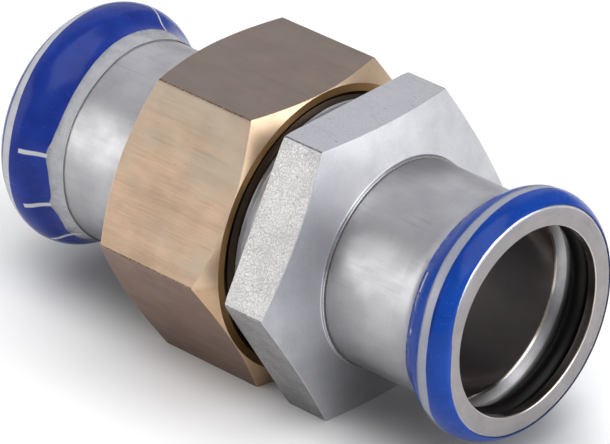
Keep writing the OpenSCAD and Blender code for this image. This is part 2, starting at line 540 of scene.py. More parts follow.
class NodeBench:
    """Builds the nodes of one material or node group."""

    def __init__(self, tree: bpy.types.NodeTree) -> None:
        """Keeps the tree that nodes are added to."""
        self.tree = tree

    def add(self, kind: str, inputs: dict[str | int, object] | None = None,
            **settings: object) -> bpy.types.Node:
        """Adds a node.

        Args:
            kind: the node's type, without its ShaderNode prefix.
            inputs: a value or an output socket for each named or numbered input.
            settings: properties of the node.

        Returns:
            The node.
        """
        node = self.tree.nodes.new(kind if kind.startswith("Node") else "ShaderNode" + kind)
        for key, value in settings.items():
            setattr(node, key, value)
        for key, value in (inputs or {}).items():
            if isinstance(value, Socket):
                self.tree.links.new(value, node.inputs[key])
            else:
                node.inputs[key].default_value = value
        return node

    def math(self, operation: str, *values: object, clamp: bool = False) -> Socket:
        """The result of a math node."""
        node = self.add("Math", dict(enumerate(values)), operation=operation, use_clamp=clamp)
        return node.outputs[0]

    def ramp(self, value: object, low: float, high: float, to_low: float = 0.0,
             to_high: float = 1.0) -> Socket:
        """Maps low..high smoothly to to_low..to_high, and stays there outside."""
        node = self.add("MapRange", {"Value": value, "From Min": low, "From Max": high,
                                     "To Min": to_low, "To Max": to_high},
                        interpolation_type="SMOOTHSTEP")
        return node.outputs[0]

    def mix(self, factor: object, a: object, b: object) -> Socket:
        """A colour between a and b."""
        node = self.add("Mix", {"Factor": factor}, data_type="RGBA")
        for name, value in (("A", a), ("B", b)):
            socket = [s for s in node.inputs if s.name == name and s.type == "RGBA"][0]
            if isinstance(value, Socket):
                self.tree.links.new(value, socket)
            else:
                socket.default_value = (*value, 1.0)
        return [s for s in node.outputs if s.type == "RGBA"][0]

    def length(self, across: object, up: object) -> Socket:
        """The length of the vector with these two parts."""
        squares = [self.math("POWER", part, 2.0) for part in (across, up)]
        return self.math("SQRT", self.math("ADD", *squares))

    def highest(self, values: Sequence[object]) -> Socket:
        """The highest of several values."""
        found = values[0]
        for value in values[1:]:
            found = self.math("MAXIMUM", found, value)
        return found

    def noise(self, vector: object, scale: float, detail: float = 2.0,
              roughness: float = 0.5) -> Socket:
        """A noise value from 0 to 1."""
        node = self.add("TexNoise", {"Vector": vector, "Scale": scale, "Detail": detail,
                                     "Roughness": roughness})
        return node.outputs["Fac"]


GroupFill = Callable[[NodeBench, bpy.types.NodeOutputs], dict[str, object]]


@dataclass(frozen=True)
class Spots:
    """A noise over the piece, cut smoothly between two of its levels.

    Attributes:
        scale: the noise's scale, in its own units over a metre.
        detail: the noise's detail.
        roughness: the noise's roughness.
        cut: the levels that become the lowest and the highest value.
        values: the lowest and the highest value.
        stretch: the scale along the pipe, under 1 for spots that are drawn out that way.
    """

    scale: float
    detail: float
    roughness: float
    cut: tuple[float, float]
    values: tuple[float, float] = (0.0, 1.0)
    stretch: float = 1.0

    def fill(self, bench: NodeBench, vector: Socket) -> Socket:
        """Adds the noise and its ramp."""
        if self.stretch != 1.0:
            scale = (self.stretch, 1.0, 1.0)
            vector = bench.add("Mapping", {"Vector": vector, "Scale": scale}).outputs[0]
        noise = bench.noise(vector, self.scale, self.detail, self.roughness)
        return bench.ramp(noise, *self.cut, *self.values)


# The grains of a blasted face, its slow changes of tone and its sparse nicks; how fully the painted top
# and low tints cover the metal and where a third tone lies; the print's flaked spots and the film's
# milkiness.
SPECKLE = Spots(4200.0, 3.0, 0.7, (0.34, 0.66))
BLOTCHES = Spots(170.0, 3.0, 0.55, (0.32, 0.68))
PITS = Spots(2300.0, 2.0, 0.6, (0.66, 0.74), stretch=0.45)
CLOUDS = Spots(240.0, 3.0, 0.6, (0.3, 0.7), (0.75, 1.0))
TONE_PATCHES = Spots(95.0, 3.0, 0.6, (0.42, 0.62), (0.0, 0.75), stretch=0.5)
PRINT_WEAR = Spots(1300.0, 3.0, 0.65, (0.5, 0.66))
FILM_FOG = Spots(380.0, 2.0, 0.5, (0.25, 0.75))


class Effects:
    """The shader node groups that several materials share."""

    def __init__(self) -> None:
        """Builds every group."""
        self.turned = self._field("turned_marks", self._turned)
        self.axial = self._field("axial_marks", self._axial)
        self.scratches = self._field("scratches", self._scratches)
        self.speckle = self._field("speckle", SPECKLE.fill)
        self.blotches = self._field("blotches", BLOTCHES.fill)
        self.pits = self._field("pits", PITS.fill)
        self.clouds = self._field("clouds", CLOUDS.fill)
        self.tone_patches = self._field("tone_patches", TONE_PATCHES.fill)
        self.wear = self._field("print_wear", PRINT_WEAR.fill)
        self.fog = self._field("film_fog", FILM_FOG.fill)
        self.wobble = self._field("print_wobble", self._wobble)
        self.ripples = self._field("film_ripples", self._ripples)
        self.polar = self._group("polar", {"Vector": "Vector"}, ("Angle", "Radius"), self._polar)
        limits = dict.fromkeys(("Angle", "Depth", *PATCH_LIMITS), "Float")
        self.patch = self._group("print_patch", limits, ("Value",), self._patch)

    def _group(self, name: str, inputs: dict[str, str], outputs: Sequence[str], fill: GroupFill
               ) -> bpy.types.NodeTree:
        """Makes a node group.

        Args:
            name: the group's name.
            inputs: the kind of each input, Vector or Float, by its name.
            outputs: the names of the values that it puts out.
            fill: adds the nodes and gives the socket of each output.

        Returns:
            The group's tree.
        """
        tree = bpy.data.node_groups.new(name, "ShaderNodeTree")
        for socket, kind in inputs.items():
            tree.interface.new_socket(socket, in_out="INPUT", socket_type="NodeSocket" + kind)
        for socket in outputs:
            tree.interface.new_socket(socket, in_out="OUTPUT", socket_type="NodeSocketFloat")
        bench = NodeBench(tree)
        bench.add("NodeGroupOutput", fill(bench, bench.add("NodeGroupInput").outputs))
        return tree

    def _field(self, name: str, fill: Callable[[NodeBench, Socket], object]) -> bpy.types.NodeTree:
        """Makes a group that maps a place on the piece to one value."""
        return self._group(name, {"Vector": "Vector"}, ("Value",),
                           lambda bench, given: {"Value": fill(bench, given["Vector"])})

    def _turned(self, bench: NodeBench, vector: Socket) -> Socket:
        """Fine rings round the pipe axis, broken up a little along the turn."""
        axes = bench.add("SeparateXYZ", {0: vector})
        radius = bench.length(axes.outputs["Y"], axes.outputs["Z"])
        slow = bench.math("MULTIPLY", bench.math("ADD", axes.outputs["Z"], axes.outputs["Y"]), 0.03)
        rings = bench.add("CombineXYZ", {"X": axes.outputs["X"], "Y": radius, "Z": slow}).outputs[0]
        fine = bench.noise(rings, 4500.0, 1.0)
        broad = bench.noise(rings, 1100.0, 2.0)
        return bench.math("ADD", bench.math("MULTIPLY", fine, 0.6), bench.math("MULTIPLY", broad, 0.4))

    def _axial(self, bench: NodeBench, vector: Socket) -> Socket:
        """Streaks along the pipe axis."""
        slanted = bench.add("Mapping", {"Vector": vector, "Rotation": (0.03, 0.05, 0.04),
                                        "Scale": (0.05, 1.0, 1.0)}).outputs[0]
        fine = bench.ramp(bench.noise(slanted, 4200.0, 2.0), 0.3, 0.7)
        broad = bench.ramp(bench.noise(slanted, 500.0, 4.0, 0.6), 0.3, 0.7)
        return bench.math("ADD", bench.math("MULTIPLY", fine, 0.42), bench.math("MULTIPLY", broad, 0.58))

    def _scratches(self, bench: NodeBench, vector: Socket) -> Socket:
        """A few thin handling scratches in three directions."""
        lines = []
        for turn in ((0.4, 0.2, 0.9), (1.3, 2.1, 0.3), (2.4, 0.7, 1.9)):
            laid = bench.add("Mapping", {"Vector": vector, "Rotation": turn,
                                         "Scale": (0.06, 1.0, 1.0)}).outputs[0]
            lines.append(bench.ramp(bench.noise(laid, 1300.0, 1.0), 0.70, 0.76))
        return bench.highest(lines)

    def _wobble(self, bench: NodeBench, vector: Socket) -> Socket:
        """How far a printed edge strays from its line, in millimetres."""
        return bench.math("MULTIPLY", bench.math("SUBTRACT", bench.noise(vector, 250.0, 2.0), 0.5), 0.22)

    def _ripples(self, bench: NodeBench, vector: Socket) -> Socket:
        """The shrunk film's gentle waves."""
        return bench.noise(vector, 380.0, 2.0)

    def _polar(self, bench: NodeBench, given: bpy.types.NodeOutputs) -> dict[str, object]:
        """The angle in degrees from +Z towards -Y, and the millimetres from the pipe axis."""
        axes = bench.add("SeparateXYZ", {0: given["Vector"]})
        across = bench.math("MULTIPLY", axes.outputs["Y"], -1.0)
        angle = bench.math("DEGREES", bench.math("ARCTAN2", across, axes.outputs["Z"]))
        radius = bench.math("MULTIPLY", bench.length(axes.outputs["Y"], axes.outputs["Z"]), 1 / MM)
        return {"Angle": angle, "Radius": radius}

    def _patch(self, bench: NodeBench, given: bpy.types.NodeOutputs) -> dict[str, object]:
        """A small soft-edged field between two angles and two depths."""
        from_angle, to_angle, from_depth, to_depth = (given[name] for name in PATCH_LIMITS)
        across = bench.math("MINIMUM", bench.math("SUBTRACT", given["Angle"], from_angle),
                            bench.math("SUBTRACT", to_angle, given["Angle"]))
        along = bench.math("MINIMUM", bench.math("SUBTRACT", given["Depth"], from_depth),
                           bench.math("SUBTRACT", to_depth, given["Depth"]))
        return {"Value": bench.math("MULTIPLY", bench.ramp(across, -0.15, 0.35),
                                    bench.ramp(along, -0.04, 0.1))}

    def use(self, bench: NodeBench, tree: bpy.types.NodeTree, vector: Socket) -> Socket:
        """Puts a group into a material and gives its value."""
        return bench.add("Group", {"Vector": vector}, node_tree=tree).outputs["Value"]


def new_material(name: str) -> tuple[bpy.types.Material, NodeBench, bpy.types.Node]:
    """An empty material, its bench and its Principled shader, already wired to the output."""
    material = bpy.data.materials.new(name)
    material.use_nodes = True
    material.node_tree.nodes.clear()
    bench = NodeBench(material.node_tree)
    shader = bench.add("BsdfPrincipled")
    bench.add("OutputMaterial", {"Surface": shader.outputs[0]})
    return material, bench, shader


@dataclass(frozen=True)
class MetalFinish:
    """A bare metal face: its two tones, its gloss and the marks that the tool left.

    The top tint paints light and shade onto the top flat, and the low tint paints shade onto what lies
    low, darker towards the bottom. Each comes in between the two heights of its span, in millimetres.
    """

    name: str
    light: Colour
    dark: Colour
    roughness: tuple[float, float]
    grain: Grain
    marks: float
    bump: float
    speckle: float = 0.0
    scratches: float = 0.12
    pits: float = 0.0
    top_painted_light: Colour | None = None
    low_painted_shade: Colour | None = None
    top_painted_light_span: tuple[float, float] = (FIT.flat_r - 0.6, FIT.flat_r - 0.05)
    low_painted_shade_span: tuple[float, float] = (0.4, -0.6)
    tint_cover: float = 0.8
    third: Colour | None = None
    mar_tone: float = 0.35

    def build(self, effects: Effects) -> bpy.types.Material:
        """Makes the material from the shared effects."""
        material, bench, shader = new_material(self.name)
        vector = bench.add("TexCoord").outputs["Object"]
        tree = {Grain.TURNED: effects.turned, Grain.AXIAL: effects.axial,
                Grain.CAST: effects.speckle}[self.grain]
        marks = effects.use(bench, tree, vector)
        blotches = effects.use(bench, effects.blotches, vector)
        grains = effects.use(bench, effects.speckle, vector)
        scratches = effects.use(bench, effects.scratches, vector)
        tone = bench.math("ADD", bench.math("MULTIPLY", marks, self.marks),
                          bench.math("MULTIPLY", blotches, 1 - self.marks))
        tone = bench.math("ADD", tone, bench.math(
            "MULTIPLY", bench.math("SUBTRACT", grains, 0.5), self.speckle), clamp=True)
        colour = bench.mix(tone, self.dark, self.light)
        if self.third is not None:
            colour = bench.mix(effects.use(bench, effects.tone_patches, vector), colour, self.third)
        height = bench.add("SeparateXYZ", {0: vector}).outputs["Z"]
        # Painted light and shade: the top flat and the low faces are tinted by height, broken up by
        # clouds.
        for tint, low, high in ((self.top_painted_light, *self.top_painted_light_span), (self.low_painted_shade, *self.low_painted_shade_span)):
            if tint is not None:
                flat = bench.ramp(height, low * MM, high * MM, 0.0, self.tint_cover)
                clouds = effects.use(bench, effects.clouds, vector)
                colour = bench.mix(bench.math("MULTIPLY", flat, clouds), colour, tint)
        marred = bench.math("MAXIMUM", bench.math("MULTIPLY", scratches, self.scratches),
                            bench.math("MULTIPLY", effects.use(bench, effects.pits, vector), self.pits))
        colour = bench.mix(marred, colour, tuple(c * self.mar_tone for c in self.dark))
        bench.tree.links.new(colour, shader.inputs["Base Color"])
        gloss = bench.ramp(tone, 0.0, 1.0, self.roughness[1], self.roughness[0])
        bench.tree.links.new(gloss, shader.inputs["Roughness"])
        shader.inputs["Metallic"].default_value = 1.0
        relief = bench.math("ADD", marks, bench.math("MULTIPLY", grains, self.speckle))
        relief = bench.math("SUBTRACT", relief, marred)
        bump = bench.add("Bump", {"Height": relief, "Distance": self.bump * MM, "Strength": 1.0})
        bench.tree.links.new(bump.outputs[0], shader.inputs["Normal"])
        return material


@dataclass(frozen=True)
class SoftFinish:
    """Rubber or fibre: dull, with a faint mottle."""

    name: str
    light: Colour
    dark: Colour
    roughness: float
    shine: float
    bump: float

    def build(self, effects: Effects) -> bpy.types.Material:
        """Makes the material from the shared effects."""
        material, bench, shader = new_material(self.name)
        vector = bench.add("TexCoord").outputs["Object"]
        blotches = effects.use(bench, effects.blotches, vector)
        grains = effects.use(bench, effects.speckle, vector)
        bench.tree.links.new(bench.mix(blotches, self.dark, self.light), shader.inputs["Base Color"])
        gloss = bench.ramp(grains, 0.0, 1.0, self.roughness - 0.05, self.roughness + 0.05)
        bench.tree.links.new(gloss, shader.inputs["Roughness"])
        shader.inputs["Specular IOR Level"].default_value = self.shine
        bump = bench.add("Bump", {"Height": grains, "Distance": self.bump * MM, "Strength": 1.0})
        bench.tree.links.new(bump.outputs[0], shader.inputs["Normal"])
        return material


@dataclass(frozen=True)
class Print:
    """The blue fields of one film. Depths are millimetres behind the mouth, by angle in degrees."""

    front_edge: Sequence[Point]
    stripe_start: Sequence[Point]
    stripe_end: Sequence[Point]
    field_end: Sequence[Point]
    ticks: Sequence[Patch]
    crease_shadows: Sequence[Patch]
    blue: Colour
    blue_light: Colour
    haze: float
    wear: float
    clear: Colour


FRONT_PRINT = Print(
    front_edge=((-180, 17.1), (-60, 17.2), (-30, 17.3), (0, 17.23), (18, 17.34), (42, 17.34), (58, 17.1),
                (73, 16.6), (85, 16.15), (100, 16.43), (115, 16.78), (130, 17.03), (180, 17.1)),
    stripe_start=((-180, 2.8), (-60, 2.7), (-15, 2.85), (20, 2.8), (45, 2.65), (60, 2.55), (75, 2.35),
                  (90, 2.25), (105, 2.5), (120, 3.2), (135, 3.3), (180, 2.8)),
    stripe_end=((-180, 4.7), (-60, 5.0), (-30, 4.7), (-15, 4.4), (10, 4.2), (45, 4.35), (60, 4.1),
                (75, 3.85), (90, 3.9), (105, 4.3), (120, 4.9), (135, 5.1), (180, 4.7)),
    field_end=((-180, 7.6), (-60, 7.0), (0, 6.3), (15, 7.2), (45, 7.7), (60, 7.6), (75, 7.5), (90, 7.8),
               (105, 8.3), (180, 7.6)),
    ticks=((50, 60, 6.5, 7.05), (61, 67, 6.7, 7.0), (77, 79.5, 6.0, 6.7)),
    crease_shadows=((40, 50, 2.45, 2.7), (50, 58, 2.25, 2.6), (58, 76, 2.0, 2.5), (82, 86, 1.75, 2.1)),
    blue=(0.003, 0.034, 0.235), blue_light=(0.005, 0.047, 0.29), clear=(0.42, 0.445, 0.54),
    haze=0.03, wear=0.45,
)
REAR_PRINT = Print(
    front_edge=((-180, 17.1), (180, 17.1)),
    stripe_start=((-180, 1.0), (-60, 0.6), (0, 0.8), (24, 1.0), (39, 1.1), (55, 1.3), (77, 1.4),
                  (98, 1.2), (112, 1.0), (180, 1.0)),
    stripe_end=((-180, 2.2), (-60, 1.6), (-10, 2.0), (10, 2.25), (24, 2.35), (39, 2.5), (52, 2.8),
                (67, 3.1), (90, 3.05), (106, 2.85), (121, 2.5), (180, 2.2)),
    field_end=((-180, 8.0), (-60, 8.4), (-2, 8.6), (15, 8.9), (40, 9.3), (58, 9.25), (70, 8.9), (79, 8.3),
               (85, 8.6), (95, 8.9), (103, 8.75), (109, 8.2), (114, 8.6), (124, 8.5), (132, 8.0),
               (180, 8.0)),
    ticks=((78.0, 80.4, 4.65, 8.5), (107.6, 110.2, 4.65, 8.4),
           (137.0, 139.6, 4.65, 9.5), (-33.8, -32.4, 3.6, 8.4)),
    crease_shadows=((-32.4, -31.4, 3.6, 8.2),),
    blue=(0.008, 0.023, 0.195), blue_light=(0.011, 0.036, 0.26), clear=(0.58, 0.59, 0.62),
    haze=0.42, wear=0.0,
)


@dataclass(frozen=True)
class FilmFinish:
    """Clear shrunk film with its blue print.

    Its fog_range is the least milkiness and its swing, as shares of the print's haze. The printed
    edges are curves of depth over the angle, drawn to curve_span millimetres.
    """

    name: str
    pattern: Print
    mouth_x: float
    facing: int
    crease_shadow: Colour = (0.006, 0.008, 0.06)
    crease_shadow_cover: float = 0.45
    print_alpha: float = 0.98
    tick_painted_light_alpha: float = 0.85
    stripe_painted_light_alpha: float = 0.3
    fog_range: tuple[float, float] = (0.75, 0.4)
    roughness: tuple[float, float] = (0.22, 0.42)
    ripple: float = 0.12
    shine: float = 0.14
    coat: tuple[float, float] = (0.06, 0.12)
    curve_span: float = 20.0

    def _edge(self, bench: NodeBench, turn: Socket, points: Sequence[Point]) -> Socket:
        """The depth of one printed edge at each angle, through a smooth curve."""
        node = bench.add("FloatCurve", {"Value": turn})
        curve = node.mapping.curves[0]
        while len(curve.points) > 2:
            curve.points.remove(curve.points[1])
        scaled = [((a + 180) / 360, depth / self.curve_span) for a, depth in points]
        curve.points[0].location = scaled[0]
        curve.points[1].location = scaled[-1]
        for place in scaled[1:-1]:
            curve.points.new(*place)
        node.mapping.update()
        return bench.math("MULTIPLY", node.outputs[0], self.curve_span)

    def _patches(self, bench: NodeBench, effects: Effects, angle: Socket,
                 depth: Socket, patches: Sequence[Patch]) -> Socket:
        """A mask of small soft-edged fields, each between two angles and two depths."""
        return bench.highest([
            bench.add("Group", {"Angle": angle, "Depth": depth, **dict(zip(PATCH_LIMITS, limits))},
                      node_tree=effects.patch).outputs["Value"] for limits in patches])

    def build(self, effects: Effects) -> bpy.types.Material:
        """Makes the material from the shared effects and the print's own edges."""
        material, bench, shader = new_material(self.name)
        pattern = self.pattern
        vector = bench.add("TexCoord").outputs["Object"]
        along = bench.add("SeparateXYZ", {0: vector}).outputs["X"]
        depth = bench.math("MULTIPLY", bench.math("SUBTRACT", self.mouth_x * MM, along), self.facing / MM)
        polar = bench.add("Group", {"Vector": vector}, node_tree=effects.polar).outputs
        turn = bench.math("DIVIDE", bench.math("ADD", polar["Angle"], 180.0), 360.0)
        wobble = effects.use(bench, effects.wobble, vector)
        place = bench.math("ADD", depth, wobble)
        stripe_start, stripe_end, field_end, front_edge = (
            self._edge(bench, turn, points) for points in
            (pattern.stripe_start, pattern.stripe_end, pattern.field_end, pattern.front_edge))

        past_edge = bench.math("GREATER_THAN", bench.math("ADD", polar["Radius"], wobble), front_edge)
        past_front = bench.math("MAXIMUM", past_edge, bench.math("GREATER_THAN", depth, 1.0))
        before = bench.math("MULTIPLY", past_front, bench.math("LESS_THAN", place, stripe_start))
        after = bench.math("MULTIPLY", bench.math("GREATER_THAN", place, stripe_end),
                           bench.math("LESS_THAN", place, field_end))
        printed = bench.math("MAXIMUM", before, after)
        ticks = self._patches(bench, effects, polar["Angle"], place, pattern.ticks)
        inside = bench.math("SUBTRACT", field_end, place)
        worn = bench.math("MULTIPLY", effects.use(bench, effects.wear, vector),
                          bench.ramp(inside, 0.2, 1.1, pattern.wear, 0.0))
        printed = bench.math("MULTIPLY", printed,
                             bench.math("SUBTRACT", 1.0, bench.math("MAXIMUM", ticks, worn)))

        ink = bench.mix(effects.use(bench, effects.blotches, vector), pattern.blue, pattern.blue_light)
        # Painted shade: the ink is darker where the film's creases would shade it.
        crease_shadows = self._patches(bench, effects, polar["Angle"], place, pattern.crease_shadows)
        ink = bench.mix(bench.math("MULTIPLY", crease_shadows, self.crease_shadow_cover), ink, self.crease_shadow)
        bench.tree.links.new(bench.mix(printed, pattern.clear, ink), shader.inputs["Base Color"])

        # The film's haze, plus a whitish veil in the stripe and the ticks: painted light over the metal
        # seen through the clear film.
        in_stripe = bench.math("MULTIPLY", bench.ramp(inside, -0.1, 0.1), bench.ramp(depth, 0.6, 1.0))
        least, swing = (share * pattern.haze for share in self.fog_range)
        fog = bench.math("MULTIPLY", effects.use(bench, effects.fog, vector), swing)
        fog = bench.math("ADD", fog, least)
        haze_and_painted_light = bench.math("ADD", bench.math("MULTIPLY", in_stripe, self.stripe_painted_light_alpha), fog)
        haze_and_painted_light = bench.math("MAXIMUM", haze_and_painted_light, bench.math("MULTIPLY", ticks, self.tick_painted_light_alpha))
        alpha = bench.math("MAXIMUM", bench.math("MULTIPLY", printed, self.print_alpha), haze_and_painted_light)
        bench.tree.links.new(alpha, shader.inputs["Alpha"])

        scratches = effects.use(bench, effects.scratches, vector)
        bench.tree.links.new(bench.ramp(scratches, 0.0, 1.0, *self.roughness), shader.inputs["Roughness"])
        ripples = effects.use(bench, effects.ripples, vector)
        bump = bench.add("Bump", {"Height": ripples, "Distance": self.ripple * MM, "Strength": 0.5})
        bench.tree.links.new(bump.outputs[0], shader.inputs["Normal"])
        shader.inputs["Specular IOR Level"].default_value = self.shine
        shader.inputs["Coat Weight"].default_value = self.coat[0]
        shader.inputs["Coat Roughness"].default_value = self.coat[1]
        return material


Finish = MetalFinish | SoftFinish | FilmFinish


@dataclass(frozen=True)
class Finishes:
    """The finishes of the whole fitting."""

    # Painted shade darkens the nut's top flat and, towards the bottom, its low flats.
    nut_flats: MetalFinish = MetalFinish(
        "gunmetal_milled", (0.345, 0.246, 0.174), (0.265, 0.187, 0.130), (0.34, 0.42),
        Grain.AXIAL, 0.62,
        0.008, pits=0.2, top_painted_light=(0.19, 0.148, 0.132), low_painted_shade=(0.15, 0.066, 0.038),
        third=(0.265, 0.225, 0.175))
    # Painted shade: a dark line along the nut's broken edges between flats.
    nut_corners: MetalFinish = MetalFinish(
        "gunmetal_corners", (0.30, 0.20, 0.14), (0.10, 0.062, 0.042), (0.34, 0.46),
        Grain.CAST, 0.8, 0.02,
        speckle=0.3)
    # Painted shade darkens the low side of the nut's turned chamfers.
    nut_turned: MetalFinish = MetalFinish(
        "gunmetal_turned", (0.655, 0.495, 0.35), (0.545, 0.40, 0.275), (0.34, 0.42), Grain.TURNED, 0.5,
        0.004, low_painted_shade=(0.50, 0.32, 0.19))
    nut_inside: MetalFinish = MetalFinish(
        "gunmetal_threaded", (0.50, 0.30, 0.12), (0.34, 0.19, 0.07), (0.30, 0.40),
        Grain.TURNED, 0.5, 0.004)
    # A painted bluish reflection tints the body's top flat, and painted shade darkens its low flats.
    body_flats: MetalFinish = MetalFinish(
        "steel_rolled_bar", (0.62, 0.602, 0.592), (0.44, 0.432, 0.432), (0.42, 0.55), Grain.CAST, 0.6,
        0.012, speckle=0.6, pits=0.5, top_painted_light=(0.53, 0.53, 0.57), low_painted_shade=(0.12, 0.117, 0.126))
    # Painted shade: a dark line along the body's broken edges and at the weld rim's inner side.
    body_corners: MetalFinish = MetalFinish(
        "steel_corners", (0.34, 0.33, 0.33), (0.17, 0.163, 0.166), (0.42, 0.52), Grain.CAST, 0.7, 0.012,
        speckle=0.4)
    body_turned: MetalFinish = MetalFinish(
        "steel_turned", (0.555, 0.555, 0.58), (0.44, 0.445, 0.465), (0.36, 0.44),
        Grain.TURNED, 0.35, 0.006,
        speckle=0.35, scratches=0.04)
    # Painted shade: the body's thread is dark where it sits in the gap by the nut.
    thread: MetalFinish = MetalFinish(
        "steel_thread_painted_shade", (0.105, 0.077, 0.058), (0.052, 0.038, 0.029), (0.30, 0.42), Grain.TURNED,
        0.5, 0.004)
    # Painted shade darkens the lower side of the socket's neck.
    socket: MetalFinish = MetalFinish(
        "steel_formed", (0.47, 0.463, 0.472), (0.37, 0.365, 0.378), (0.34, 0.44),
        Grain.AXIAL, 0.36, 0.004,
        speckle=0.15, low_painted_shade=(0.185, 0.183, 0.194), low_painted_shade_span=(5.5, -10.0))
    mouth: MetalFinish = MetalFinish(
        "steel_faced", (0.345, 0.325, 0.327), (0.255, 0.24, 0.244), (0.30, 0.40),
        Grain.TURNED, 0.4, 0.004)
    # Burnished, smoother edge; its lighter, bluer tone is a painted highlight on the mouth's rounding and
    # the weld rim.
    edge: MetalFinish = MetalFinish(
        "steel_burnished_painted_highlight", (0.50, 0.505, 0.54), (0.40, 0.405, 0.44), (0.20, 0.28),
        Grain.TURNED, 0.4, 0.002)
    # Painted shade inside the bead's groove, behind the seal ring.
    groove: MetalFinish = MetalFinish(
        "steel_groove_painted_shade", (0.17, 0.165, 0.165), (0.11, 0.106, 0.106), (0.34, 0.44),
        Grain.TURNED, 0.4, 0.002)
    # Smoother drawn bore; its light tone is partly painted light that stands in for light reaching the
    # deep bore.
    bore: MetalFinish = MetalFinish(
        "steel_drawn_painted_light", (0.68, 0.63, 0.605), (0.55, 0.50, 0.475), (0.16, 0.24), Grain.TURNED, 0.4, 0.002,
        scratches=0.05, third=(0.49, 0.42, 0.37))
    rubber: SoftFinish = SoftFinish(
        "seal_rubber", (0.004, 0.003, 0.0035), (0.002, 0.002, 0.002), 0.42, 0.16, 0.003)
    film_cut: SoftFinish = SoftFinish(
        "film_cut_end", (0.30, 0.29, 0.29), (0.10, 0.095, 0.095), 0.5, 0.3, 0.002)
    fibre: SoftFinish = SoftFinish(
        "gasket_fibre", (0.12, 0.26, 0.20), (0.06, 0.15, 0.11), 0.7, 0.5, 0.03)


